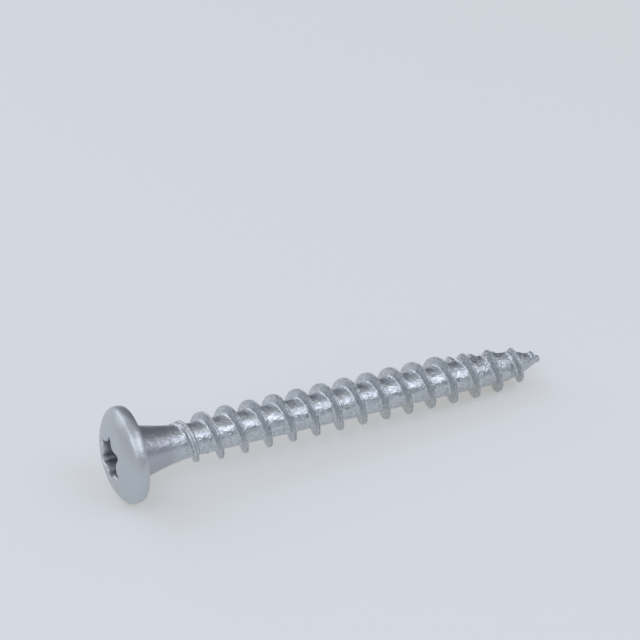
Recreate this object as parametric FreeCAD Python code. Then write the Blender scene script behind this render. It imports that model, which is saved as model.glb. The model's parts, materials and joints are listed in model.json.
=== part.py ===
import FreeCAD, Part
import math
import os

os.makedirs("parts", exist_ok=True)

V = FreeCAD.Vector

# Driving dimensions in millimetres. Stations are measured along the screw's own axis from
# the flat under face of the head: positive toward the point, negative into the head.
THREAD_DIAMETER = 5.0
LENGTH_UNDER_HEAD = 45.0
HEAD_DIAMETER = 9.5
HEAD_HEIGHT = 2.4
ROOT_DIAMETER = 3.24
THREAD_PITCH = 2.566

# Head: a low dome that rolls over into a generous rim, with a flat bearing face beneath.
DOME_RADIUS = 15.0
RIM_TOP_RADIUS = 1.3
RIM_UNDER_BEVEL = 0.25

# Neck: a hollow cone from the bearing face down to the threaded shank.
NECK_ROOT_RADIUS = 2.85
NECK_MID_RADIUS = 2.03
NECK_LENGTH = 6.2

# Point: the shank narrows as a cone and ends in a small blunt flat.
POINT_START = 40.0
POINT_END_RADIUS = 0.38

# Six-lobe drive recess: widths across the lobes and across the waists between them.
RECESS_ACROSS_LOBES = 4.5
RECESS_ACROSS_WAISTS = 3.27
RECESS_LOBE_RADIUS = 0.38
RECESS_DEPTH = 2.2
RECESS_TURN_DEG = 28.0

# Thread ridge: right-handed and single, with two sloping flanks that meet in a sharp crest.
FLANK_ANGLE_DEG = 27.0
FOOT_SINK = 0.12
RIDGE_START = 3.75
RIDGE_FULL_FROM = 8.8
RIDGE_START_RADIUS = 1.76
RIDGE_START_POWER = 1.6
RIDGE_TAPER_FROM = 36.5
RIDGE_END = 44.65
RIDGE_END_RADIUS = 0.5
RIDGE_TAPER_POWER = 4.0
RIDGE_PHASE_STATION = 4.0
RIDGE_PHASE_DEG = -71.9
PIECES_PER_TURN = 4

# Cutting flute: a wide shallow notch along the last turns, deepening toward the point.
FLUTE_START = 34.6
FLUTE_FLOOR_AT_START = 1.66
FLUTE_FLOOR_FALL = 0.106
FLUTE_SIDE_SLOPE = 0.40
FLUTE_HALF_WIDTH = 3.2
FLUTE_ROLL_DEG = 51.0

HEAD_RADIUS = HEAD_DIAMETER / 2
ROOT_RADIUS = ROOT_DIAMETER / 2
CREST_RADIUS = THREAD_DIAMETER / 2
TOOL_MARGIN = 1.0


def arc_through(first, middle, last):
    """Edge of a circular arc through three points given as (radius, station)."""
    points = [V(p[0], 0, p[1]) for p in (first, middle, last)]
    return Part.Arc(points[0], points[1], points[2]).toShape()


def straight(first, last):
    """Straight edge between two points given as (radius, station)."""
    return Part.makeLine(V(first[0], 0, first[1]), V(last[0], 0, last[1]))


def on_circle(centre, radius, angle_deg):
    """Point on a circle in the (radius, station) plane."""
    angle = math.radians(angle_deg)
    return (centre[0] + radius * math.cos(angle), centre[1] + radius * math.sin(angle))


def neck_circle():
    """Centre station, centre radius and radius of the hollow neck's arc."""
    ax, ay = NECK_ROOT_RADIUS, 0.0
    bx, by = NECK_MID_RADIUS, NECK_LENGTH / 2
    cx, cy = ROOT_RADIUS, NECK_LENGTH
    d = 2 * (ax * (by - cy) + bx * (cy - ay) + cx * (ay - by))
    a2, b2, c2 = ax * ax + ay * ay, bx * bx + by * by, cx * cx + cy * cy
    ux = (a2 * (by - cy) + b2 * (cy - ay) + c2 * (ay - by)) / d
    uy = (a2 * (cx - bx) + b2 * (ax - cx) + c2 * (bx - ax)) / d
    return ux, uy, math.hypot(ux - ax, uy - ay)


def shank_radius(station):
    """Radius of the neck, shank and point cone without the thread."""
    if station < NECK_LENGTH:
        ux, uy, radius = neck_circle()
        return ux - math.sqrt(radius * radius - (station - uy) ** 2)
    if station < POINT_START:
        return ROOT_RADIUS
    share = (station - POINT_START) / (LENGTH_UNDER_HEAD - POINT_START)
    return ROOT_RADIUS + (POINT_END_RADIUS - ROOT_RADIUS) * share


def ridge_radius(station):
    """Radius of the thread's crest: it rises out of the neck and falls toward the point."""
    if station < RIDGE_FULL_FROM:
        left = (RIDGE_FULL_FROM - station) / (RIDGE_FULL_FROM - RIDGE_START)
        return CREST_RADIUS - (CREST_RADIUS - RIDGE_START_RADIUS) * left ** RIDGE_START_POWER
    if station < RIDGE_TAPER_FROM:
        return CREST_RADIUS
    gone = (station - RIDGE_TAPER_FROM) / (RIDGE_END - RIDGE_TAPER_FROM)
    return CREST_RADIUS - (CREST_RADIUS - RIDGE_END_RADIUS) * gone ** RIDGE_TAPER_POWER


def body_of_revolution():
    """Head, neck, shank and point turned about the screw's axis as one solid."""
    dome_centre = (0.0, DOME_RADIUS - HEAD_HEIGHT)
    rim_x = HEAD_RADIUS - RIM_TOP_RADIUS
    reach = DOME_RADIUS - RIM_TOP_RADIUS
    rim_centre = (rim_x, dome_centre[1] - math.sqrt(reach * reach - rim_x * rim_x))
    blend = math.degrees(math.atan2(rim_centre[1] - dome_centre[1], rim_x))
    dome_edge = on_circle(rim_centre, RIM_TOP_RADIUS, blend)
    dome_mid = on_circle(dome_centre, DOME_RADIUS, (blend - 90) / 2)
    rim_mid = on_circle(rim_centre, RIM_TOP_RADIUS, blend / 2)
    apex = (0.0, -HEAD_HEIGHT)
    rim_top = (HEAD_RADIUS, rim_centre[1])
    rim_low = (HEAD_RADIUS, -RIM_UNDER_BEVEL)
    under_edge = (HEAD_RADIUS - RIM_UNDER_BEVEL, 0.0)
    neck_top = (NECK_ROOT_RADIUS, 0.0)
    neck_mid = (shank_radius(NECK_LENGTH / 2), NECK_LENGTH / 2)
    neck_end = (ROOT_RADIUS, NECK_LENGTH)
    cone_start = (ROOT_RADIUS, POINT_START)
    cone_end = (POINT_END_RADIUS, LENGTH_UNDER_HEAD)
    tip = (0.0, LENGTH_UNDER_HEAD)
    edges = [
        arc_through(apex, dome_mid, dome_edge),
        arc_through(dome_edge, rim_mid, rim_top),
        straight(rim_top, rim_low),
        straight(rim_low, under_edge),
        straight(under_edge, neck_top),
        arc_through(neck_top, neck_mid, neck_end),
        straight(neck_end, cone_start),
        straight(cone_start, cone_end),
        straight(cone_end, tip),
        straight(tip, apex),
    ]
    face = Part.Face(Part.Wire(edges))
    return face.revolve(V(0, 0, 0), V(0, 0, 1), 360)


def helix_point(station, along, radius):
    """Point of the ridge beside the crest line: `along` is its offset along the axis."""
    turns = (station - RIDGE_PHASE_STATION) / THREAD_PITCH
    angle = 2 * math.pi * turns + math.radians(RIDGE_PHASE_DEG)
    return V(radius * math.cos(angle), radius * math.sin(angle), station + along)


def ridge_section(station):
    """Points (offset along the axis, radius) across the ridge, from head side to point side."""
    crest = ridge_radius(station)
    foot = min(shank_radius(station), crest) - FOOT_SINK
    wide = (crest - foot) * math.tan(math.radians(FLANK_ANGLE_DEG))
    return [(-wide, foot), (0, crest), (wide, foot)]


def ridge_piece(first, last):
    """Solid of the ridge between two stations: its rails are arcs through three points."""
    stations = (first, (first + last) / 2, last)
    sections = [
        [helix_point(station, along, radius) for along, radius in ridge_section(station)]
        for station in stations
    ]
    rails = [Part.Arc(*points).toShape() for points in zip(*sections)]
    following = rails[1:] + rails[:1]
    faces = [Part.makeRuledSurface(rail, beside) for rail, beside in zip(rails, following)]
    for corners in (sections[0], sections[-1]):
        faces.append(Part.Face(Part.makePolygon(corners + corners[:1])))
    shell = Part.Shell(faces)
    shell.sewShape()
    solid = Part.Solid(shell)
    if solid.Volume < 0:
        solid.reverse()
    return solid


def thread_ridge():
    """The whole ridge as a row of short solids that meet face to face."""
    count = math.ceil((RIDGE_END - RIDGE_START) / THREAD_PITCH * PIECES_PER_TURN)
    step = (RIDGE_END - RIDGE_START) / count
    return [ridge_piece(RIDGE_START + step * i, RIDGE_START + step * (i + 1)) for i in range(count)]


def recess_outline():
    """Closed wire of the six-lobe recess: six outward lobes joined by six inward waists."""
    lobe_reach = RECESS_ACROSS_LOBES / 2 - RECESS_LOBE_RADIUS
    waist = RECESS_ACROSS_WAISTS / 2
    step = math.radians(30)
    over = lobe_reach ** 2 + waist ** 2 - 2 * lobe_reach * waist * math.cos(step) - RECESS_LOBE_RADIUS ** 2
    waist_radius = over / (2 * (RECESS_LOBE_RADIUS - waist + lobe_reach * math.cos(step)))
    waist_reach = waist + waist_radius
    share = RECESS_LOBE_RADIUS / (RECESS_LOBE_RADIUS + waist_radius)

    def polar(reach, angle):
        return V(reach * math.cos(angle), reach * math.sin(angle), 0)

    edges = []
    for k in range(6):
        lobe = math.radians(RECESS_TURN_DEG) + 2 * step * k
        centre = polar(lobe_reach, lobe)
        before = centre + (polar(waist_reach, lobe - step) - centre) * share
        after = centre + (polar(waist_reach, lobe + step) - centre) * share
        following = polar(lobe_reach, lobe + 2 * step)
        next_start = following + (polar(waist_reach, lobe + step) - following) * share
        edges.append(Part.Arc(before, polar(RECESS_ACROSS_LOBES / 2, lobe), after).toShape())
        edges.append(Part.Arc(after, polar(waist, lobe + step), next_start).toShape())
    return Part.Wire(edges)


def drive_recess():
    """Tool for the recess: a six-lobe prism that ends in a flat floor."""
    outline = recess_outline()
    outline.translate(V(0, 0, -HEAD_HEIGHT - TOOL_MARGIN))
    return Part.Face(outline).extrude(V(0, 0, RECESS_DEPTH + TOOL_MARGIN))


def cutting_flute():
    """Tool for the flute: a wide vee prism whose floor line falls toward the point."""
    length = LENGTH_UNDER_HEAD - FLUTE_START + TOOL_MARGIN
    edge = FLUTE_FLOOR_AT_START + FLUTE_HALF_WIDTH * FLUTE_SIDE_SLOPE
    wire = Part.makePolygon([
        V(FLUTE_FLOOR_AT_START, 0, FLUTE_START),
        V(edge, FLUTE_HALF_WIDTH, FLUTE_START),
        V(edge + THREAD_DIAMETER, 0, FLUTE_START),
        V(edge, -FLUTE_HALF_WIDTH, FLUTE_START),
        V(FLUTE_FLOOR_AT_START, 0, FLUTE_START),
    ])
    tool = Part.Face(wire).extrude(V(-FLUTE_FLOOR_FALL * length, 0, length))
    tool.rotate(V(0, 0, 0), V(0, 0, 1), FLUTE_ROLL_DEG)
    return tool


def lay_down(shape):
    """Lay the screw on the floor: on its head's bevelled rim and on the crest that carries it."""
    lowest = RIDGE_PHASE_STATION + math.radians(270 - RIDGE_PHASE_DEG) / (2 * math.pi) * THREAD_PITCH
    turns = math.ceil((RIDGE_END - lowest) / THREAD_PITCH)
    stations = [lowest + THREAD_PITCH * turn for turn in range(turns)]
    tilts = [math.atan2(HEAD_RADIUS - ridge_radius(s), s + RIM_UNDER_BEVEL) for s in stations]
    tilt = min(tilts)
    shape.rotate(V(0, 0, 0), V(1, 1, 1), 120)
    shape.rotate(V(0, 0, 0), V(0, 1, 0), math.degrees(tilt))
    box = shape.optimalBoundingBox(False, False)
    middle = box.Center
    shape.translate(V(-middle.x, -middle.y, -box.ZMin))
    return shape


screw = body_of_revolution().cut(drive_recess())
screw = screw.fuse(thread_ridge())
screw = screw.cut(cutting_flute())
if screw.ShapeType != "Solid":
    screw = max(screw.Solids, key=lambda solid: solid.Volume)
screw = lay_down(screw)
screw.exportStep("parts/anchor_screw.step")
print("volume", round(screw.Volume, 2), "valid", screw.isValid(), "faces", len(screw.Faces))
print("box", screw.optimalBoundingBox(False, False))
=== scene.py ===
# %% [markdown]
# The frame comes first. It is the imported CAD screw, in metres, lying on the floor as it rests:
# on the edge of its head and on one crest of its thread. Everything below is fitted to it, so
# the frame is loaded before anything is made.

# %% Load the frame
import json
import math

import bmesh
import bpy
from mathutils import Euler, Matrix, Vector


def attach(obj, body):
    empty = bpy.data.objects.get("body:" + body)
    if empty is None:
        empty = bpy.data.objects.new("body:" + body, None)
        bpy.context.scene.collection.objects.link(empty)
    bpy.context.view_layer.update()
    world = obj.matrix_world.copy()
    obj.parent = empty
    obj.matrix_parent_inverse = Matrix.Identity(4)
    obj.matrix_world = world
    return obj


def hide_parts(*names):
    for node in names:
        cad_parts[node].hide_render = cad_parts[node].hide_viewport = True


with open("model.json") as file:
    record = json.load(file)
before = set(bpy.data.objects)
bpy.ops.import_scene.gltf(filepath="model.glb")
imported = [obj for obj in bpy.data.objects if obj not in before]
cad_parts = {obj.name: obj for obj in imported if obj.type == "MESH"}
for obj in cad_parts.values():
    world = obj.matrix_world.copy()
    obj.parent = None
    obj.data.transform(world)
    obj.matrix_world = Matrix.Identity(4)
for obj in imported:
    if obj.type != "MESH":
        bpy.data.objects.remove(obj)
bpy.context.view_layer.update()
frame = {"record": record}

# %% [markdown]
# A screw is a turned and rolled part, so it is easiest to describe by two numbers: a station
# along its own axis, counted from the flat face under the head, and a radius around that axis.
# It could be modelled where it lies, but then every size would be mixed with its tilt. So the
# screw is made along the X axis, in millimetres, and laid into the frame at the end with one
# matrix. The frame's mounts say where the axis runs, so no place is typed in.

# %% Where the screw's axis runs
MM = 0.001

mounts = {mount["name"]: mount for mount in frame["record"]["mounts"]}
screw_axis = Vector(mounts["under_head"]["axis"]).normalized()
recess_mouth = Vector(mounts["drive_recess"]["pos_m"])
bearing_face = Vector(mounts["under_head"]["pos_m"])
bearing_centre = recess_mouth + screw_axis * (bearing_face - recess_mouth).dot(screw_axis)

side = Vector((0, 1, 0))
raised = screw_axis.cross(side)
laid_down = Matrix((screw_axis, side, raised)).transposed().to_4x4()
laid_down.translation = bearing_centre
print("axis", [round(v, 4) for v in screw_axis])
print("centre of the bearing face", [round(v, 5) for v in bearing_centre])

# %% [markdown]
# These are the driving sizes, in millimetres: a 5 mm thread, 45 mm under the head, a 9.5 mm
# head. They are the sizes of the CAD part, so the detailed screw fills the same space. The neck
# is hollowed by one arc, which is found from three radii of the neck: at the head, half way and
# where it reaches the shank.

# %% Driving sizes
THREAD_DIAMETER = 5.0
LENGTH_UNDER_HEAD = 45.0
HEAD_DIAMETER = 9.5
HEAD_HEIGHT = 2.4
ROOT_DIAMETER = 3.24
THREAD_PITCH = 2.566

HEAD_RADIUS = HEAD_DIAMETER / 2
ROOT_RADIUS = ROOT_DIAMETER / 2
CREST_RADIUS = THREAD_DIAMETER / 2

NECK_ROOT_RADIUS = 2.85
NECK_MID_RADIUS = 2.03
NECK_LENGTH = 6.2


def circle_through(first, middle, last):
    """Centre (station, radius) and radius of the circle through three (station, radius) points."""
    (ax, ay), (bx, by), (cx, cy) = first, middle, last
    d = 2 * (ax * (by - cy) + bx * (cy - ay) + cx * (ay - by))
    a2, b2, c2 = ax * ax + ay * ay, bx * bx + by * by, cx * cx + cy * cy
    x = (a2 * (by - cy) + b2 * (cy - ay) + c2 * (ay - by)) / d
    y = (a2 * (cx - bx) + b2 * (ax - cx) + c2 * (bx - ax)) / d
    return x, y, math.hypot(x - ax, y - ay)


neck_station, neck_reach, neck_bend = circle_through(
    (0.0, NECK_ROOT_RADIUS), (NECK_LENGTH / 2, NECK_MID_RADIUS), (NECK_LENGTH, ROOT_RADIUS)
)
print("the neck is hollowed with a radius of", round(neck_bend, 2), "mm")

# %% [markdown]
# Both the thread and the plating are made by node trees below. A tree of maths nodes is hard to
# read when each node is added by hand, so two helpers come first. One adds a node and feeds its
# inputs. The other is a small class that lets sums be written as sums: each sum adds its node.

# %% Numbers that live in a node tree


def add_node(tree, kind, inputs=None, **settings):
    """Adds a node. Each input is a plain value, or another node's output that feeds it."""
    node = tree.nodes.new(kind)
    for name, value in settings.items():
        setattr(node, name, value)
    for place, value in (inputs or {}).items():
        if isinstance(value, Amount):
            value = value.socket
        if isinstance(value, bpy.types.NodeSocket):
            tree.links.new(value, node.inputs[place])
        else:
            node.inputs[place].default_value = value
    return node


class Amount:
    """A number that a node tree works out for each point, written with ordinary sums."""

    def __init__(self, tree, socket):
        self.tree = tree
        self.socket = socket

    def made_by(self, operation, *values):
        """The result of one maths node, fed by Amounts or by plain numbers."""
        node = add_node(self.tree, "ShaderNodeMath", dict(enumerate(values)), operation=operation)
        return Amount(self.tree, node.outputs[0])

    def __add__(self, other):
        return self.made_by("ADD", self, other)

    def __sub__(self, other):
        return self.made_by("SUBTRACT", self, other)

    def __rsub__(self, other):
        return self.made_by("SUBTRACT", other, self)

    def __mul__(self, other):
        return self.made_by("MULTIPLY", self, other)

    def __truediv__(self, other):
        return self.made_by("DIVIDE", self, other)

    def __pow__(self, other):
        return self.made_by("POWER", self, other)

    def sine(self):
        return self.made_by("SINE", self)

    def cosine(self):
        return self.made_by("COSINE", self)

    def tangent(self):
        return self.made_by("TANGENT", self)

    def root(self):
        return self.made_by("SQRT", self)

    def without_sign(self):
        return self.made_by("ABSOLUTE", self)

    def part_of_one(self):
        return self.made_by("FRACT", self)

    def wrapped(self, lowest, highest):
        return self.made_by("WRAP", self, highest, lowest)

    def at_least(self, other):
        return self.made_by("MAXIMUM", self, other)

    def at_most(self, other):
        return self.made_by("MINIMUM", self, other)

    def blended_at_most(self, other, blend):
        return self.made_by("SMOOTH_MIN", self, other, blend)

    def share(self):
        """This amount, held between 0 and 1."""
        return self.at_least(0.0).at_most(1.0)

    def spread(self, before, after=(0.0, 1.0)):
        """Maps one range of this amount onto another, and holds it there."""
        node = add_node(self.tree, "ShaderNodeMapRange", {
            "Value": self,
            "From Min": before[0],
            "From Max": before[1],
            "To Min": after[0],
            "To Max": after[1],
        })
        return Amount(self.tree, node.outputs[0])


def noise(tree, place, scale, detail):
    """Soft uneven values around 0.5, which are the same at every run."""
    node = add_node(tree, "ShaderNodeTexNoise", {"Vector": place, "Scale": scale, "Detail": detail})
    return Amount(tree, node.outputs[0])


# %% [markdown]
# The thread is the ridge that rolling dies press up out of the wire. Its sizes are inputs of the
# tree, so that another screw could be made from the same tree. The crest is a narrow land with a
# fine seam along its middle, where the metal from both sides met between the dies. The flanks
# are steep, and the foot has a small fillet. The ridge climbs out of the hollow neck along the
# run-in, and sinks late along the taper. The flute is the cut that lets the point bite.

# %% Sizes of the thread
THREAD_FROM = 3.2
THREAD_TO = 44.7
PHASE_STATION = 4.0

THREAD_INPUTS = {
    "Pitch": THREAD_PITCH,
    "Root radius": ROOT_RADIUS,
    "Crest radius": CREST_RADIUS,
    "Crest land": 0.28,
    "Crest seam": 0.09,
    "Crest rounding": 0.03,
    "Flank angle": math.radians(10.0),
    "Foot fillet": 0.32,
    "Run-in from": 3.75,
    "Run-in to": 8.8,
    "Run-in radius": 1.76,
    "Run-in land": 0.55,
    "Taper from": 36.5,
    "Taper to": 44.65,
    "Taper radius": 0.42,
    "Point from": 40.0,
    "Point radius": 0.18,
    "Phase": math.radians(-71.9),
    "Flute from": 34.6,
    "Flute floor": 1.78,
    "Flute fall": 0.138,
    "Flute slope": 0.40,
    "Flute far slope": 0.62,
    "Flute roll": math.radians(51.0),
    "Tip stretch": 0.25,
    "Waviness": 0.02,
    "Burrs": 0.10,
    "Nick station": 7.45,
    "Nick roll": math.radians(234.0),
    "Nick reach": 0.16,
    "Nick height": 0.15,
}
thread_turns = (THREAD_TO - THREAD_FROM) / THREAD_PITCH
print("the thread makes", round(thread_turns, 1), "turns from station", THREAD_FROM, "to", THREAD_TO)

# %% [markdown]
# A rolled screw follows a few simple laws, and each one is a function that takes and gives
# Amounts. They could be curves drawn by hand, but a law stays true when a size changes. The
# first says how thick the plain shank is, and the second how high the crest stands. The powers
# say how suddenly the ridge climbs out of the neck and falls toward the point.

# %% The laws of the shank and the crest
RUN_IN_POWER = 1.6
TAPER_POWER = 4.0
POINT_POWER = 1.6


def run_in_left(station, size):
    """Share of the run-in that still lies ahead: 1 where the ridge begins, 0 where it is full."""
    return ((size["Run-in to"] - station) / (size["Run-in to"] - size["Run-in from"])).share()


def plain_radius(station, size):
    """Radius of the neck, the shank and the point without their thread."""
    along = station.at_most(NECK_LENGTH) - neck_station
    neck = neck_reach - (neck_bend ** 2 - along * along).root()
    gone = ((station - size["Point from"]) / (LENGTH_UNDER_HEAD - size["Point from"])).share()
    return neck - gone ** POINT_POWER * (size["Root radius"] - size["Point radius"])


def crest_radius(station, size):
    """Radius of the crest: it rises along the run-in and falls along the taper."""
    gone = ((station - size["Taper from"]) / (size["Taper to"] - size["Taper from"])).share()
    rise = (size["Crest radius"] - size["Run-in radius"]) * run_in_left(station, size) ** RUN_IN_POWER
    fall = (size["Crest radius"] - size["Taper radius"]) * gone ** TAPER_POWER
    return size["Crest radius"] - rise - fall


# %% [markdown]
# The third law is the ridge's own section. It is told how far a point lies from the crest line,
# and answers with a radius: the land with its seam in the middle, then the flank, then the
# fillet at the foot. The crest is widest where it runs out on the neck. The seam is cut as a
# small vee, because it shows as a double line of light along every crest.

# %% The law of the ridge's section
RUN_IN_LAND_POWER = 2.0
SEAM_SHARE = 0.25


def ridge_radius(from_crest_line, station, plain, size):
    """Radius of the ridge's own section, by distance along the axis from its crest line."""
    crest = crest_radius(station, size)
    widened = size["Run-in land"] * run_in_left(station, size) ** RUN_IN_LAND_POWER
    lean, bend = size["Flank angle"], size["Foot fillet"]
    beside = from_crest_line.without_sign() - (size["Crest land"] + widened) / 2
    flank = crest - beside / lean.tangent()
    climb = bend * (1.0 - lean.sine())
    foot = (crest - plain - climb) * lean.tangent() + bend * lean.cosine()
    into = (foot - beside).at_least(0.0).at_most(bend * lean.cosine())
    fillet = plain + bend - (bend * bend - into * into).root()
    seam = 1.0 - from_crest_line.without_sign() / (size["Crest land"] * SEAM_SHARE)
    top = crest - size["Crest seam"] * seam.at_least(0.0)
    return flank.at_least(fillet).blended_at_most(top, size["Crest rounding"])


# %% [markdown]
# The last law is the cutting flute: a wide vee that is cut into one side of the last turns and
# takes away whatever lies outside it. It could be cut with a Boolean, but as a law it is one
# more limit on the radius, and the faces stay in neat rows. It deepens toward the point and runs
# out steeply at its other end.

# %% The law of the flute
FLUTE_RUN_OUT = 1.4
FLUTE_LEAST_OPENING = 0.05


def flute_radius(station, roll, size):
    """Radius of the flute's vee, which is very large where the flute doesn't reach."""
    past = station - size["Flute from"]
    floor = size["Flute floor"] - size["Flute fall"] * past
    run_out = (0.0 - past).at_least(0.0) * FLUTE_RUN_OUT
    turned_by = roll - size["Flute roll"]
    near = size["Flute slope"] * turned_by.sine().at_least(0.0)
    far = size["Flute far slope"] * turned_by.sine().at_most(0.0)
    opening = turned_by.cosine() - near + far
    return (floor + run_out) / opening.at_least(FLUTE_LEAST_OPENING)


# %% [markdown]
# The thread follows a rule, so Geometry Nodes make it. It could be a ridge swept along a helix
# and joined to a cylinder, but then the two skins would cross. Here the shank and its ridge are
# one skin. A flat grid is wrapped round the axis like a long ribbon: one side of the grid runs
# along the helix, the other crosses one pitch, and its rows crowd together near the crest line.
# Each turn of the ribbon lies edge to edge with the next one and is merged with it, so every row
# of faces follows the thread, and the crest stays crisp with few faces.

# %% Wrap a ribbon round the axis
COLUMNS_PER_TURN = 144
ROWS_PER_PITCH = 32
ROW_CROWDING = 0.62
STRETCH_POWER = 1.5


def flat_ribbon(tree):
    """A flat grid, with each point's place along it, in turns, and its share across it."""
    columns = math.ceil((thread_turns + 1) * COLUMNS_PER_TURN)
    ribbon = add_node(tree, "GeometryNodeMeshGrid", {
        "Size X": 1.0,
        "Size Y": 1.0,
        "Vertices X": columns + 1,
        "Vertices Y": ROWS_PER_PITCH + 1,
    })
    place = add_node(tree, "GeometryNodeInputPosition")
    apart = add_node(tree, "ShaderNodeSeparateXYZ", {0: place.outputs[0]})
    turn = (Amount(tree, apart.outputs["X"]) + 0.5) * (columns / COLUMNS_PER_TURN)
    across = Amount(tree, apart.outputs["Y"]) + 0.5
    return ribbon.outputs["Mesh"], turn, across


def wrapped_places(turn, across, size):
    """Station, roll, distance from the crest line and nearness to the tip, for each point."""
    crowded = across + (across * math.tau).sine() * (ROW_CROWDING / math.tau)
    start = THREAD_FROM - size["Pitch"]
    even_to = THREAD_TO - size["Tip stretch"]
    even = (start + size["Pitch"] * (turn + crowded)).at_least(THREAD_FROM).at_most(even_to)
    near_tip = ((even - size["Taper from"]) / (even_to - size["Taper from"])).share()
    station = even + near_tip ** STRETCH_POWER * size["Tip stretch"]
    roll = (turn + (start - PHASE_STATION) / size["Pitch"] + 0.5) * math.tau + size["Phase"]
    past_line = (((even - start) / size["Pitch"] - turn).part_of_one() - 0.5) * size["Pitch"]
    return station, roll, past_line, near_tip


def round_the_axis(tree, station, roll, radius):
    """The point at a station, a roll angle and a radius, as a vector."""
    return add_node(tree, "ShaderNodeCombineXYZ", {
        "X": station,
        "Y": roll.cosine() * radius,
        "Z": roll.sine() * radius,
    }).outputs[0]


# %% [markdown]
# A real rolled thread is never quite even. Two soft noises stand for that: a slight waviness
# everywhere, and burrs that only the crest has and that grow toward the point, where the flute
# is cut. One raised nick sits under the first full turn, where something has caught the metal.
# They move the surface itself, because they show in the screw's outline, where a bump would not.
# The noises draw no random numbers, so they are the same at every run.

# %% Waviness, burrs and the nick
WAVE_SCALE = 1.1
WAVE_DETAIL = 4.0
BURR_SCALE = 2.6
BURR_DETAIL = 3.0
BURRS_ALONG_SHANK = 0.2
BURR_POWER = 2.0
FLUTE_BLEND = 0.03


def worn_radius(tree, station, roll, past_line, near_tip, size):
    """Radius of the whole threaded skin, with its unevenness and with the flute cut into it."""
    plain = plain_radius(station, size)
    radius = ridge_radius(past_line, station, plain, size).at_least(plain)
    spot = round_the_axis(tree, station, roll, size["Crest radius"])

    settled = ((station - size["Run-in from"]) / size["Pitch"]).share()
    wave = (noise(tree, spot, WAVE_SCALE, WAVE_DETAIL) - 0.5) * size["Waviness"] * settled

    on_crest = ((radius - plain) / (size["Crest radius"] - size["Root radius"])).share()
    burr_share = (near_tip.root() + BURRS_ALONG_SHANK) * on_crest ** BURR_POWER
    burrs = (noise(tree, spot, BURR_SCALE, BURR_DETAIL) - 0.5) * size["Burrs"] * burr_share

    nick_turn = (roll - size["Nick roll"]).wrapped(-math.pi, math.pi)
    nick_off = (station - size["Nick station"]) ** 2.0 + (nick_turn * size["Root radius"]) ** 2.0
    nick = (1.0 - nick_off.root() / size["Nick reach"]).at_least(0.0) * size["Nick height"]

    radius = radius + wave + burrs + nick
    return radius.blended_at_most(flute_radius(station, roll, size), FLUTE_BLEND)


# %% [markdown]
# Now the tree itself. The grid gives each point two shares, the laws turn them into a station, a
# roll angle and a radius, and Set Position moves the point there. The ribbon's edges are merged,
# and the tree ends in Realize Instances and Set Material, so that what leaves it is plain mesh.

# %% Build the thread's tree
MERGE_WITHIN = 0.004


def named_inputs(tree, sizes):
    """Adds one named input for each size and gives them back as Amounts."""
    tree.interface.new_socket("Geometry", in_out="OUTPUT", socket_type="NodeSocketGeometry")
    for name, value in sizes.items():
        socket = tree.interface.new_socket(name, in_out="INPUT", socket_type="NodeSocketFloat")
        socket.default_value = value
    entry = tree.nodes.new("NodeGroupInput")
    return {name: Amount(tree, entry.outputs[name]) for name in sizes}


def thread_tree(material):
    """A tree that gives the threaded shank as one mesh with an open ring at each end."""
    tree = bpy.data.node_groups.new("Rolled thread", "GeometryNodeTree")
    size = named_inputs(tree, THREAD_INPUTS)
    ribbon, turn, across = flat_ribbon(tree)
    station, roll, past_line, near_tip = wrapped_places(turn, across, size)
    radius = worn_radius(tree, station, roll, past_line, near_tip, size)
    place = round_the_axis(tree, station, roll, radius)

    moved = add_node(tree, "GeometryNodeSetPosition", {"Geometry": ribbon, "Position": place})
    merged = add_node(tree, "GeometryNodeMergeByDistance", {
        "Geometry": moved.outputs["Geometry"],
        "Distance": MERGE_WITHIN,
    })
    realized = add_node(tree, "GeometryNodeRealizeInstances", {"Geometry": merged.outputs["Geometry"]})
    dressed = add_node(tree, "GeometryNodeSetMaterial", {
        "Geometry": realized.outputs["Geometry"],
        "Material": material,
    })
    add_node(tree, "NodeGroupOutput", {0: dressed.outputs["Geometry"]})
    return tree


# %% [markdown]
# The finish is bright zinc plating: a satin metal that differs from place to place. The head
# keeps the smooth skin of the heading die, the rolled shank is cloudy, and the flanks of the
# thread are duller. Three tones are painted light and shade: the neck is darker as painted shade
# under the head, which dims its highlight, the drive recess is darkest as painted shade where
# little light reaches, and the flanks are paler as painted light that brightens what they
# reflect. Each could be a material of its own, but then hard borders would show. One material
# with soft masks is used instead. The masks read the screw's own station and radius, which come
# from turning Object coordinates into the screw's own coordinates, in millimetres.

# %% Find each place of the screw in a material
THREAD_BEGINS = (3.5, 5.0)
FOOT_TO_FLANK = (1.84, 2.0)
CREST_TO_FLANK = (2.46, 2.41)
HEAD_TO_NECK = (-0.1, 0.1)
NECK_GIVES_WAY = (5.0, 3.0)
DOME_TO_RECESS = (-2.1, -1.7)
WITHIN_LOBES = (2.7, 2.6)
RECESS_ENDS = (0.0, -0.1)


def own_places(tree):
    """The screw's own coordinates, with its station and its distance from the axis."""
    own = add_node(tree, "ShaderNodeMapping", {
        "Vector": add_node(tree, "ShaderNodeTexCoord").outputs["Object"],
        "Location": laid_down.translation,
        "Rotation": laid_down.to_euler(),
        "Scale": (MM, MM, MM),
    }, vector_type="TEXTURE").outputs[0]
    apart = add_node(tree, "ShaderNodeSeparateXYZ", {0: own})
    off_axis = add_node(tree, "ShaderNodeCombineXYZ", {
        "Y": apart.outputs["Y"],
        "Z": apart.outputs["Z"],
    })
    radius = add_node(tree, "ShaderNodeVectorMath", {0: off_axis.outputs[0]}, operation="LENGTH")
    return own, Amount(tree, apart.outputs["X"]), Amount(tree, radius.outputs["Value"])


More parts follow.
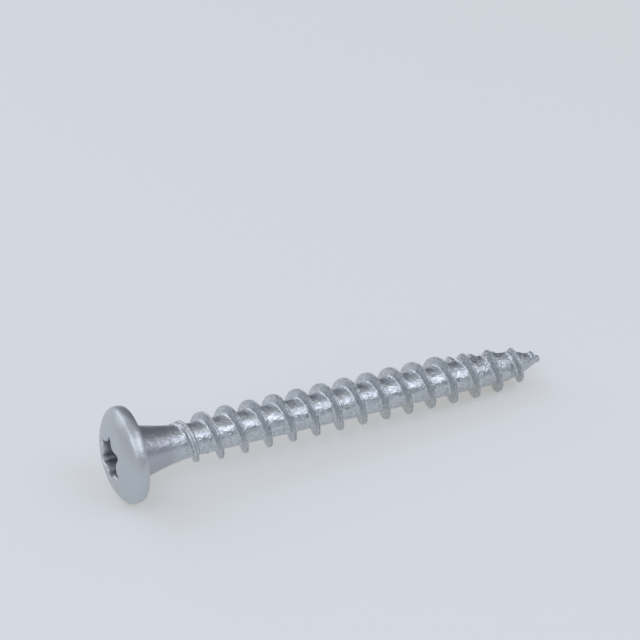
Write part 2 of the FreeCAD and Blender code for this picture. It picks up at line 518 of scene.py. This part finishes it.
def masks(station, radius):
    """Shares from 0 to 1 that say where the thread, its flanks, the neck and the recess are."""
    thread = station.spread(THREAD_BEGINS)
    flank = radius.spread(FOOT_TO_FLANK) * radius.spread(CREST_TO_FLANK) * thread
    neck = station.spread(HEAD_TO_NECK) * station.spread(NECK_GIVES_WAY)
    recess = station.spread(DOME_TO_RECESS) * radius.spread(WITHIN_LOBES) * station.spread(RECESS_ENDS)
    return {"thread": thread, "flank": flank, "neck": neck, "recess": recess}


# %% [markdown]
# On metal, Base Color is the tint of what it reflects. Each place has its own tone, laid over
# the one before with a Mix node. Zinc grows in small crystals, which dapple the rolled surface,
# so a fine noise darkens specks of it. The specks could be painted by an image, but a noise
# needs no picture and has no seams.

# %% Tones of the plating
HEAD_TONE = (0.57, 0.60, 0.62)
# Painted shade: the neck's darker tone stands in for the shade under the head, which dims its highlight.
NECK_PAINTED_SHADE_TONE = (0.47, 0.49, 0.525)
# Painted shade: the recess's darkest tone stands in for the shade inside it, where little light reaches.
RECESS_PAINTED_SHADE_TONE = (0.40, 0.42, 0.44)
SHANK_TONE = (0.64, 0.673, 0.695)
# Painted light: the flanks' paler tone brightens the reflection of the floor that they show.
FLANK_PAINTED_LIGHT_TONE = (0.70, 0.73, 0.75)
SPECK_TINT = (0.75, 0.76, 0.77)
SPECK_SCALE = 3.6
SPECK_DETAIL = 4.0
SPECKS_IN_NOISE = (0.38, 0.66)


def tinted(tree, share, before, after, how="MIX"):
    """A tone that changes from one to another with a share."""
    return add_node(tree, "ShaderNodeMix", {
        "Factor": share,
        6: before,
        7: (*after, 1.0),
    }, data_type="RGBA", blend_type=how).outputs[2]


def plating_tone(tree, own, where):
    """The tone of every place, from the head to the flanks, with painted shade on the neck and in the recess
    and painted light on the flanks.
    """
    # The neck's tone is painted shade under the head.
    tone = tinted(tree, where["neck"], (*HEAD_TONE, 1.0), NECK_PAINTED_SHADE_TONE)
    # The recess's tone is painted shade.
    tone = tinted(tree, where["recess"], tone, RECESS_PAINTED_SHADE_TONE)
    tone = tinted(tree, where["thread"], tone, SHANK_TONE)
    # The flanks' paler tone is painted light.
    tone = tinted(tree, where["flank"], tone, FLANK_PAINTED_LIGHT_TONE)
    specks = noise(tree, own, SPECK_SCALE, SPECK_DETAIL).spread(SPECKS_IN_NOISE) * where["thread"]
    return tinted(tree, specks, tone, SPECK_TINT, "MULTIPLY")


# %% [markdown]
# Roughness says how blurred the reflections are. One value would give a highlight as even as a
# drawn line. Clouds of smoother and rougher metal break it up along the shank, and the flanks
# are the dullest place of all.

# %% Roughness of the plating
HEAD_AND_NECK_ROUGHNESS = (0.40, 0.37)
SHANK_ROUGHNESS = (0.25, 0.45)
FLANK_ROUGHNESS = 0.5
CLOUD_SCALE = 1.5
CLOUD_DETAIL = 2.0
CLOUDS_IN_NOISE = (0.38, 0.62)


def blended(tree, share, before, after):
    """A number that changes from one to another with a share."""
    return add_node(tree, "ShaderNodeMix", {0: share, 2: before, 3: after}).outputs[0]


def plating_roughness(tree, own, station, where):
    """Roughness of every place."""
    cloudy = noise(tree, own, CLOUD_SCALE, CLOUD_DETAIL).spread(CLOUDS_IN_NOISE, SHANK_ROUGHNESS)
    smooth = station.spread(HEAD_TO_NECK, HEAD_AND_NECK_ROUGHNESS)
    rolled = blended(tree, where["thread"], smooth, cloudy)
    return blended(tree, where["flank"], rolled, FLANK_ROUGHNESS)


# %% [markdown]
# Last comes the grain: the tiny hills that rolling and plating leave. They are far too small to
# be worth faces, so a Bump node tilts the light on them. It is faint on the head, full on the
# shank, and strongest near the point, where the metal was squeezed most.

# %% Grain of the plating, and the whole material
GRAIN_HEIGHT = 0.10
GRAIN_SCALE = 2.3
GRAIN_DETAIL = 2.5
GRAIN_GROWS = (0.5, 6.0)
GRAIN_ON_HEAD_AND_SHANK = (0.35, 1.0)
TIP_NEARS = (33.0, 42.0)
GRAIN_ON_SHANK_AND_TIP = (1.0, 2.3)
GRAIN_ON_SHANK_AND_FLANK = (1.0, 0.9)


def grain_normal(tree, own, station, where):
    """The tilt that the grain gives to every place."""
    strength = station.spread(GRAIN_GROWS, GRAIN_ON_HEAD_AND_SHANK)
    strength = strength * station.spread(TIP_NEARS, GRAIN_ON_SHANK_AND_TIP)
    strength = strength * where["flank"].spread((0.0, 1.0), GRAIN_ON_SHANK_AND_FLANK)
    return add_node(tree, "ShaderNodeBump", {
        "Strength": 1.0,
        "Distance": GRAIN_HEIGHT * MM,
        "Height": noise(tree, own, GRAIN_SCALE, GRAIN_DETAIL) * strength,
    }).outputs[0]


def zinc_plating():
    """Bright zinc on steel, whose tone, roughness and grain follow the place on the screw."""
    material = bpy.data.materials.new("zinc_plating")
    material.use_nodes = True
    tree = material.node_tree
    shader = tree.nodes["Principled BSDF"]
    shader.inputs["Metallic"].default_value = 1.0
    own, station, radius = own_places(tree)
    where = masks(station, radius)
    tree.links.new(plating_tone(tree, own, where), shader.inputs["Base Color"])
    tree.links.new(plating_roughness(tree, own, station, where), shader.inputs["Roughness"])
    tree.links.new(grain_normal(tree, own, station, where), shader.inputs["Normal"])
    return material


zinc = zinc_plating()
print("the plating has", len(zinc.node_tree.nodes), "nodes")

# %% [markdown]
# The tree runs as a modifier on an empty mesh. A modifier's input is set by its identifier,
# because two inputs may share a name. The result is taken as a plain mesh, and the object that
# carried the modifier is removed, because the exported part can hold no live modifiers.

# %% Roll the thread


def evaluated_mesh(tree, name):
    """The plain mesh that a Geometry Nodes tree gives with its inputs at their sizes."""
    carrier = bpy.data.objects.new(name, bpy.data.meshes.new(name))
    bpy.context.scene.collection.objects.link(carrier)
    modifier = carrier.modifiers.new("Thread", "NODES")
    modifier.node_group = tree
    for item in tree.interface.items_tree:
        if item.item_type == "SOCKET" and item.in_out == "INPUT":
            modifier[item.identifier] = THREAD_INPUTS[item.name]
    bpy.context.view_layer.update()
    evaluated = carrier.evaluated_get(bpy.context.evaluated_depsgraph_get())
    mesh = bpy.data.meshes.new_from_object(evaluated)
    bpy.data.objects.remove(carrier)
    return mesh


thread_mesh = evaluated_mesh(thread_tree(zinc), "rolled_thread")
print("thread:", len(thread_mesh.vertices), "points,", len(thread_mesh.polygons), "faces")

# %% [markdown]
# The head, the neck and the end of the point are turned shapes. They could be spun with a Screw
# modifier and joined on, but the thread's ends are open rings that wave a little, and a seam
# would show. So they grow out of those rings, one ring of points at a time, and the screw stays
# one closed skin. Each row is a rule that says, for a point at a given angle and radius, its
# next station and radius.

# %% Grow a skin ring by ring
RING_WITHIN = 0.01


def open_ring(body, station):
    """The points of the open ring at a station, in order around the axis."""
    points = [v for v in body.verts if v.is_boundary and abs(v.co.x - station) < RING_WITHIN]
    return sorted(points, key=lambda v: math.atan2(v.co.z, v.co.y))


def grow(body, ring, row):
    """Adds one more ring and joins it to the last: row(angle, radius) gives station, radius."""
    grown = []
    for point in ring:
        angle = math.atan2(point.co.z, point.co.y)
        station, radius = row(angle, math.hypot(point.co.y, point.co.z))
        grown.append(body.verts.new((station, radius * math.cos(angle), radius * math.sin(angle))))
    for k in range(len(ring)):
        body.faces.new((ring[k - 1], ring[k], grown[k], grown[k - 1]))
    return grown


def close(body, ring, station):
    """Closes a ring with triangles that meet on the axis."""
    pole = body.verts.new((station, 0, 0))
    for k in range(len(ring)):
        body.faces.new((ring[k - 1], ring[k], pole))


def turned(station, radius):
    """A row that is the same all round."""
    return lambda angle, before: (station, radius)


def shares(count):
    """Even shares from just over 0 up to 1."""
    return [(k + 1) / count for k in range(count)]


# %% [markdown]
# The head was upset from the wire between two dies, and its outline is a chain of arcs. From
# the flat ring beneath, it goes over a tiny edge, up a rounded back to the widest place, over a
# narrow band that leans inward, round a tight shoulder, and along a longer rim arc into a low
# dome. The shoulder is what draws the streak of light round the rim. Each arc starts where the
# one before ends and with the same slope, so only its radius has to be chosen. A slope of 90
# degrees is a side that runs along the axis, and 0 is a face square to it.

# %% Arcs of the head
RIM_EDGE_RADIUS = 0.1
RIM_BACK_RADIUS = 1.2
BAND_RADIUS = 1.25
BAND_STATION = -0.58
BAND_SLOPE = math.radians(66.0)
SHOULDER_RADIUS = 0.6
SHOULDER_SLOPE = math.radians(42.0)
DOME_RADIUS = 15.0


def on_arc(centre, radius, slope):
    """Station and radius of the point of an arc where its surface has this slope."""
    return centre[0] - radius * math.cos(slope), centre[1] + radius * math.sin(slope)


back_centre = (BAND_STATION, HEAD_RADIUS - RIM_BACK_RADIUS)
back_slope = math.acos((BAND_STATION + RIM_EDGE_RADIUS) / (RIM_BACK_RADIUS - RIM_EDGE_RADIUS))
edge_centre = on_arc(back_centre, RIM_BACK_RADIUS - RIM_EDGE_RADIUS, back_slope)
band_centre = (BAND_STATION, HEAD_RADIUS - BAND_RADIUS)
band_end = on_arc(band_centre, BAND_RADIUS, BAND_SLOPE)
shoulder_centre = on_arc(band_end, -SHOULDER_RADIUS, BAND_SLOPE)
shoulder_end = on_arc(shoulder_centre, SHOULDER_RADIUS, SHOULDER_SLOPE)

# The rim's arc has to touch the dome's sphere from inside, and that gives its radius.
dome_station = DOME_RADIUS - HEAD_HEIGHT
behind, beside = shoulder_end[0] - dome_station, shoulder_end[1]
leaning = 2 * (beside * math.sin(SHOULDER_SLOPE) - behind * math.cos(SHOULDER_SLOPE) - DOME_RADIUS)
rim_radius = (behind ** 2 + beside ** 2 - DOME_RADIUS ** 2) / leaning
rim_centre = on_arc(shoulder_end, -rim_radius, SHOULDER_SLOPE)
dome_slope = math.atan2(rim_centre[1], dome_station - rim_centre[0])
dome_reach = DOME_RADIUS * math.sin(dome_slope)
print("rim radius", round(rim_radius, 2), "mm, dome reaches", round(dome_reach, 2), "mm from the axis")

# %% [markdown]
# Now the rows: down the hollow neck, round a small fillet, out along the flat ring that clamps
# the work, and over the arcs above up to the dome. Tight arcs get close rows, so that they look
# round, and flat stretches get few.

# %% Neck, bearing ring and rim
QUARTER_TURN = math.pi / 2
NECK_FILLET = 0.2
NECK_ROWS = 8
FILLET_ROWS = 5
BEARING_ROWS = 4
EDGE_ROWS = 4
BACK_ROWS = 6
BAND_ROWS = 4
SHOULDER_ROWS = 6
RIM_ROWS = 11


def neck_radius(station):
    """Radius of the hollow neck at a station."""
    return neck_reach - math.sqrt(neck_bend ** 2 - (station - neck_station) ** 2)


def neck_rows():
    """Rows along the neck toward the head, and round the fillet onto the bearing ring."""
    rows = []
    for share in shares(NECK_ROWS):
        station = THREAD_FROM + (NECK_FILLET - THREAD_FROM) * share
        rows.append(turned(station, neck_radius(station)))
    for share in shares(FILLET_ROWS):
        bend = share * QUARTER_TURN
        reach = neck_radius(NECK_FILLET) + NECK_FILLET * (1 - math.cos(bend))
        rows.append(turned(NECK_FILLET * (1 - math.sin(bend)), reach))
    return rows


def bearing_rows():
    """Rows out along the flat ring under the head."""
    flat_from = neck_radius(NECK_FILLET) + NECK_FILLET
    flat_to = edge_centre[1]
    return [turned(0.0, flat_from + (flat_to - flat_from) * share) for share in shares(BEARING_ROWS)]


def arc_rows(centre, radius, first_slope, last_slope, count):
    """Rows along an arc, from just after its first slope up to its last."""
    slopes = [first_slope + (last_slope - first_slope) * share for share in shares(count)]
    return [turned(*on_arc(centre, radius, slope)) for slope in slopes]


def rim_rows():
    """Rows over the rim, from the bearing ring to the dome."""
    rows = arc_rows(edge_centre, RIM_EDGE_RADIUS, math.pi, back_slope, EDGE_ROWS)
    rows += arc_rows(back_centre, RIM_BACK_RADIUS, back_slope, QUARTER_TURN, BACK_ROWS)
    rows += arc_rows(band_centre, BAND_RADIUS, QUARTER_TURN, BAND_SLOPE, BAND_ROWS)
    rows += arc_rows(shoulder_centre, SHOULDER_RADIUS, BAND_SLOPE, SHOULDER_SLOPE, SHOULDER_ROWS)
    rows += arc_rows(rim_centre, rim_radius, SHOULDER_SLOPE, dome_slope, RIM_ROWS)
    return rows


head_rows = neck_rows() + bearing_rows() + rim_rows()
print("the neck and the head's rim have", len(head_rows), "rows")

# %% [markdown]
# The drive recess has six round lobes and six waists between them. It could be cut out with a
# Boolean, but that leaves long thin faces on the dome. Seen from the axis, its outline has one
# radius for each angle, so it can be written as a rule: near a lobe the rule follows the lobe's
# small circle, and between lobes it follows the waist's larger one, which touches both lobes.

# %% Outline of the six-lobe recess
RECESS_ACROSS_LOBES = 4.5
RECESS_ACROSS_WAISTS = 3.27
RECESS_LOBE_RADIUS = 0.38
RECESS_TURN = math.radians(28.0)
LOBE_TO_WAIST = math.pi / 6

lobe_reach = RECESS_ACROSS_LOBES / 2 - RECESS_LOBE_RADIUS
waist = RECESS_ACROSS_WAISTS / 2
lobe_along_waist = lobe_reach * math.cos(LOBE_TO_WAIST)
over = lobe_reach ** 2 + waist ** 2 - 2 * waist * lobe_along_waist - RECESS_LOBE_RADIUS ** 2
waist_bend = over / (2 * (RECESS_LOBE_RADIUS - waist + lobe_along_waist))
waist_reach = waist + waist_bend

# The two circles touch on the line between their centres.
touch = RECESS_LOBE_RADIUS / (RECESS_LOBE_RADIUS + waist_bend)
touch_y = touch * waist_reach * math.cos(LOBE_TO_WAIST) + (1 - touch) * lobe_reach
touch_z = touch * waist_reach * math.sin(LOBE_TO_WAIST)
touch_angle = math.atan2(touch_z, touch_y)
print("waist arc", round(waist_bend, 2), "mm, lobes end", round(math.degrees(touch_angle), 1), "degrees out")


def recess_radius(angle):
    """Distance of the recess wall from the axis, at an angle around it."""
    turn = (angle - RECESS_TURN) % (2 * LOBE_TO_WAIST)
    turn = min(turn, 2 * LOBE_TO_WAIST - turn)
    if turn < touch_angle:
        across = lobe_reach * math.sin(turn)
        return lobe_reach * math.cos(turn) + math.sqrt(RECESS_LOBE_RADIUS ** 2 - across ** 2)
    across = waist_reach * math.sin(LOBE_TO_WAIST - turn)
    return waist_reach * math.cos(LOBE_TO_WAIST - turn) - math.sqrt(waist_bend ** 2 - across ** 2)


# %% [markdown]
# The rows on the dome change little by little from the rim's circle to the recess's outline.
# Then they go over the mouth's rolled edge, down the steep wall, round a small slope in the
# corner, and along the flat floor. A punch leaves such an edge, and it catches a line of light.

# %% Dome, recess wall and floor
RECESS_DEPTH = 2.2
RECESS_EDGE = 0.2
RECESS_DRAFT = 0.28
RECESS_CORNER = 0.25
RECESS_FLOOR = RECESS_DEPTH - HEAD_HEIGHT
FLOOR_SHARES = (0.9, 0.5)
DOME_ROWS = 10
MOUTH_ROWS = 4
WALL_ROWS = 5


def on_dome(radius):
    """Station of the dome's surface at a distance from the axis."""
    return dome_station - math.sqrt(DOME_RADIUS ** 2 - radius ** 2)


def dome_row(share):
    """A row on the dome that changes from the rim's circle to the recess's outline."""
    def row(angle, before):
        mouth = recess_radius(angle) + RECESS_EDGE
        radius = dome_reach + (mouth - dome_reach) * share
        return on_dome(radius), radius

    return row


def wall_row(inward, down):
    """A row of the recess wall, by its distances from the sharp mouth."""
    def row(angle, before):
        outline = recess_radius(angle)
        return on_dome(outline) + down, outline - inward

    return row


def mouth_row(bend):
    """A row of the mouth's rolled edge, by how far the edge has bent down."""
    return wall_row(-RECESS_EDGE * (1 - math.sin(bend)), RECESS_EDGE * (1 - math.cos(bend)))


def floor_row(share):
    """A row of the recess floor, as a share of its own outline."""
    return lambda angle, before: (RECESS_FLOOR, (recess_radius(angle) - RECESS_DRAFT) * share)


def recess_rows():
    """Rows from the rim over the dome and the mouth, down the wall and along the floor."""
    wall_depth = RECESS_DEPTH - RECESS_EDGE - RECESS_CORNER
    rows = [dome_row(share) for share in shares(DOME_ROWS)]
    rows += [mouth_row(share * QUARTER_TURN) for share in shares(MOUTH_ROWS)]
    for share in shares(WALL_ROWS):
        rows.append(wall_row(RECESS_DRAFT * share, RECESS_EDGE + wall_depth * share))
    return rows + [floor_row(share) for share in FLOOR_SHARES]


# %% [markdown]
# The point ends in a small blunt cap, as the rolling dies pinch it off. A ready-made cone would
# not fit, because the thread and the flute leave an uneven outline at the last ring. The cap
# takes that outline and draws it in toward the axis along a quarter circle.

# %% Blunt end
CAP_ROWS = 6
CAP_LENGTH = LENGTH_UNDER_HEAD - THREAD_TO


def drawn_in(station, share):
    """A row that keeps the outline of the row before it and draws it toward the axis."""
    return lambda angle, before: (station, before * share)


def cap_rows():
    """Rows that close the point along a quarter circle."""
    bends = [share * QUARTER_TURN for share in shares(CAP_ROWS)[:-1]]
    rows = []
    for last, bend in zip([0.0] + bends, bends):
        rows.append(drawn_in(THREAD_TO + CAP_LENGTH * math.sin(bend), math.cos(bend) / math.cos(last)))
    return rows


# %% [markdown]
# Now the skin is closed: the head grows from the first ring of the thread, and the cap from the
# last one. The normals are made to point outwards, and edges that turn sharply are marked, so
# that the shading is smooth along the round forms and crisp at the corners. One matrix lays the
# screw down, and the object itself stays at the origin. It rides on the part's only body and
# replaces the plain CAD node.

# %% Close the screw
SHARP_FROM = math.radians(38)


def whole_screw():
    """The thread's mesh with the head, the recess and the point grown onto it."""
    body = bmesh.new()
    body.from_mesh(thread_mesh)
    ring = open_ring(body, THREAD_FROM)
    end = open_ring(body, THREAD_TO)
    print("open rings:", len(ring), len(end))
    for row in head_rows + recess_rows():
        ring = grow(body, ring, row)
    close(body, ring, RECESS_FLOOR)
    for row in cap_rows():
        end = grow(body, end, row)
    close(body, end, LENGTH_UNDER_HEAD)
    bmesh.ops.recalc_face_normals(body, faces=body.faces)
    loose = [edge for edge in body.edges if not edge.is_manifold]
    print("edges without two faces:", len(loose), "volume mm3:", round(body.calc_volume(), 1))
    mesh = bpy.data.meshes.new("anchor_screw_detailed")
    body.to_mesh(mesh)
    body.free()
    return mesh


screw_mesh = whole_screw()
screw_mesh.materials.clear()
screw_mesh.materials.append(zinc)
screw_mesh.shade_smooth()
screw_mesh.set_sharp_from_angle(angle=SHARP_FROM)
screw_mesh.transform(laid_down @ Matrix.Scale(MM, 4))
screw = bpy.data.objects.new("anchor_screw_detailed", screw_mesh)
bpy.context.scene.collection.objects.link(screw)
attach(screw, "root")
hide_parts("anchor_screw")
print("screw:", sum(len(p.vertices) - 2 for p in screw_mesh.polygons), "triangles")

# %% [markdown]
# A plain pale floor carries the screw. It is a stage object: it is not part of the screw. It is
# like a sheet of frosted white acrylic that is faintly lit from beneath, so shadows stay light.
# A brighter lamp could make the floor pale too, but it would burn out the metal. So the floor
# has a colour and a glow of its own.

# %% Floor
FLOOR_WIDTH = 3.0
FLOOR_COLOUR = (0.417, 0.470, 0.563)
FLOOR_GLOW = (0.316, 0.295, 0.245)
FLOOR_ROUGHNESS = 0.6
FLOOR_SHINE = 0.2


def glowing_material(name, colour, glow, roughness, shine):
    """A plain material with a colour and a faint glow of its own."""
    material = bpy.data.materials.new(name)
    material.use_nodes = True
    shader = material.node_tree.nodes["Principled BSDF"]
    shader.inputs["Base Color"].default_value = (*colour, 1.0)
    shader.inputs["Roughness"].default_value = roughness
    shader.inputs["Specular IOR Level"].default_value = shine
    shader.inputs["Emission Color"].default_value = (*glow, 1.0)
    shader.inputs["Emission Strength"].default_value = 1.0
    return material


def flat_sheet(name, width, height, material):
    """A rectangle around the origin, made of one face."""
    mesh = bpy.data.meshes.new(name)
    x, y = width / 2, height / 2
    mesh.from_pydata([(-x, -y, 0), (x, -y, 0), (x, y, 0), (-x, y, 0)], [], [(0, 1, 2, 3)])
    mesh.materials.append(material)
    return bpy.data.objects.new(name, mesh)


def pale_floor():
    """A wide pale sheet under the screw."""
    material = glowing_material("pale_floor", FLOOR_COLOUR, FLOOR_GLOW, FLOOR_ROUGHNESS, FLOOR_SHINE)
    floor = flat_sheet("floor", FLOOR_WIDTH, FLOOR_WIDTH, material)
    bpy.context.scene.collection.objects.link(floor)
    print(floor.name, "is", FLOOR_WIDTH, "m wide")


pale_floor()

# %% [markdown]
# Bright metal has no colour of its own to show: it shows the room. Three large soft lamps stand
# round the screw at half height and draw the cloudy highlight along it. Small lamps would leave
# hard bright dots instead, so each lamp is several times as wide as the screw is long. It is
# given by the direction it shines from, its size and how bright its face is.

# %% Lamps
LAMP_DISTANCE = 0.45
LAMP_COLOUR = (0.88, 0.92, 1.05)


def toward(turn_deg, raised_deg, distance):
    """Place at a distance from the screw, by direction round it and height over the floor."""
    turn, lift = math.radians(turn_deg), math.radians(raised_deg)
    level = distance * math.cos(lift)
    return Vector((level * math.cos(turn), level * math.sin(turn), distance * math.sin(lift)))


def facing_screw(thing, turn_deg, raised_deg, distance):
    """Puts a lamp or a card in its place, turned to the screw."""
    thing.location = toward(turn_deg, raised_deg, distance)
    thing.rotation_euler = (-thing.location).to_track_quat("-Z", "Y").to_euler()
    bpy.context.scene.collection.objects.link(thing)


def soft_lamp(name, turn_deg, raised_deg, width, height, radiance):
    """A rectangular lamp whose face is equally bright whatever its size."""
    lamp = bpy.data.lights.new(name, "AREA")
    lamp.shape = "RECTANGLE"
    lamp.size = width
    lamp.size_y = height
    lamp.energy = radiance * math.pi * width * height
    lamp.color = LAMP_COLOUR
    facing_screw(bpy.data.objects.new(name, lamp), turn_deg, raised_deg, LAMP_DISTANCE)
    print(name, "gives", round(lamp.energy, 3), "W")


soft_lamp("front_softbox", turn_deg=-57, raised_deg=46, width=0.31, height=0.28, radiance=1.45)
soft_lamp("left_softbox", turn_deg=-144, raised_deg=47, width=0.48, height=0.26, radiance=1.02)
soft_lamp("rear_softbox", turn_deg=118, raised_deg=36, width=0.46, height=0.34, radiance=0.90)

# %% [markdown]
# A photographer sets up cards round shiny metal, so that its form reads against a pale floor.
# A dark card stands behind the screw and turns the upper edge of each round form dark. A grey
# card lies low in front and gives the grey band low on the head. Both are seen in reflections
# only, so they throw no shadow and no light on the floor. The world is a plain grey room.

# %% Cards and world
CARD_DISTANCE = 0.30
CARD_COLOUR = (0.0, 0.0, 0.0)
CARD_ROUGHNESS = 0.5
CARD_SHINE = 0.5
ROOM_COLOUR = (0.50, 0.51, 0.53)


def card(name, tone, turn_deg, raised_deg, width, height):
    """A dull card that is seen in reflections only, as bright as its tone says."""
    material = glowing_material(name, CARD_COLOUR, tone, CARD_ROUGHNESS, CARD_SHINE)
    thing = flat_sheet(name, width, height, material)
    facing_screw(thing, turn_deg, raised_deg, CARD_DISTANCE)
    thing.visible_camera = False
    thing.visible_diffuse = False
    thing.visible_shadow = False
    print(name, "is", width, "m wide")


def plain_room():
    """A world of one even grey."""
    world = bpy.data.worlds.new("plain_room")
    world.use_nodes = True
    background = world.node_tree.nodes["Background"]
    background.inputs["Color"].default_value = (*ROOM_COLOUR, 1.0)
    background.inputs["Strength"].default_value = 1.0
    return world


card("dark_card", (0.17, 0.18, 0.21), turn_deg=50, raised_deg=28, width=0.50, height=0.36)
card("grey_card", (0.23, 0.25, 0.28), turn_deg=-62, raised_deg=12.5, width=0.42, height=0.135)
bpy.context.scene.world = plain_room()

# %% [markdown]
# The camera stands above the screw's head side and looks down across it. Its place is given
# from the point of the floor under the middle of the bearing face. A long lens keeps the far
# end of the screw nearly as large as the near one. The view transform is Standard, so that a
# colour comes out about as it was written.

# %% Camera
CAMERA_FROM_HEAD = Vector((-59.325, -167.178, 126.784)) * MM
CAMERA_TURN = Euler([math.radians(angle) for angle in (58.590, 1.155, -26.123)])
CAMERA_LENS_MM = 126.99
CAMERA_SENSOR_MM = 36.0
CAMERA_SEES_FROM = 0.01
CAMERA_SEES_TO = 5.0


def camera_above():
    """The camera at the viewing angle of the picture."""
    lens = bpy.data.cameras.new("camera")
    lens.lens = CAMERA_LENS_MM
    lens.sensor_width = CAMERA_SENSOR_MM
    lens.clip_start = CAMERA_SEES_FROM
    lens.clip_end = CAMERA_SEES_TO
    camera = bpy.data.objects.new("camera", lens)
    camera.location = Vector((bearing_centre.x, 0, 0)) + CAMERA_FROM_HEAD
    camera.rotation_euler = CAMERA_TURN
    bpy.context.scene.collection.objects.link(camera)
    return camera


bpy.context.scene.camera = camera_above()
bpy.context.scene.view_settings.view_transform = "Standard"
print("camera at", [round(v, 4) for v in bpy.context.scene.camera.location])
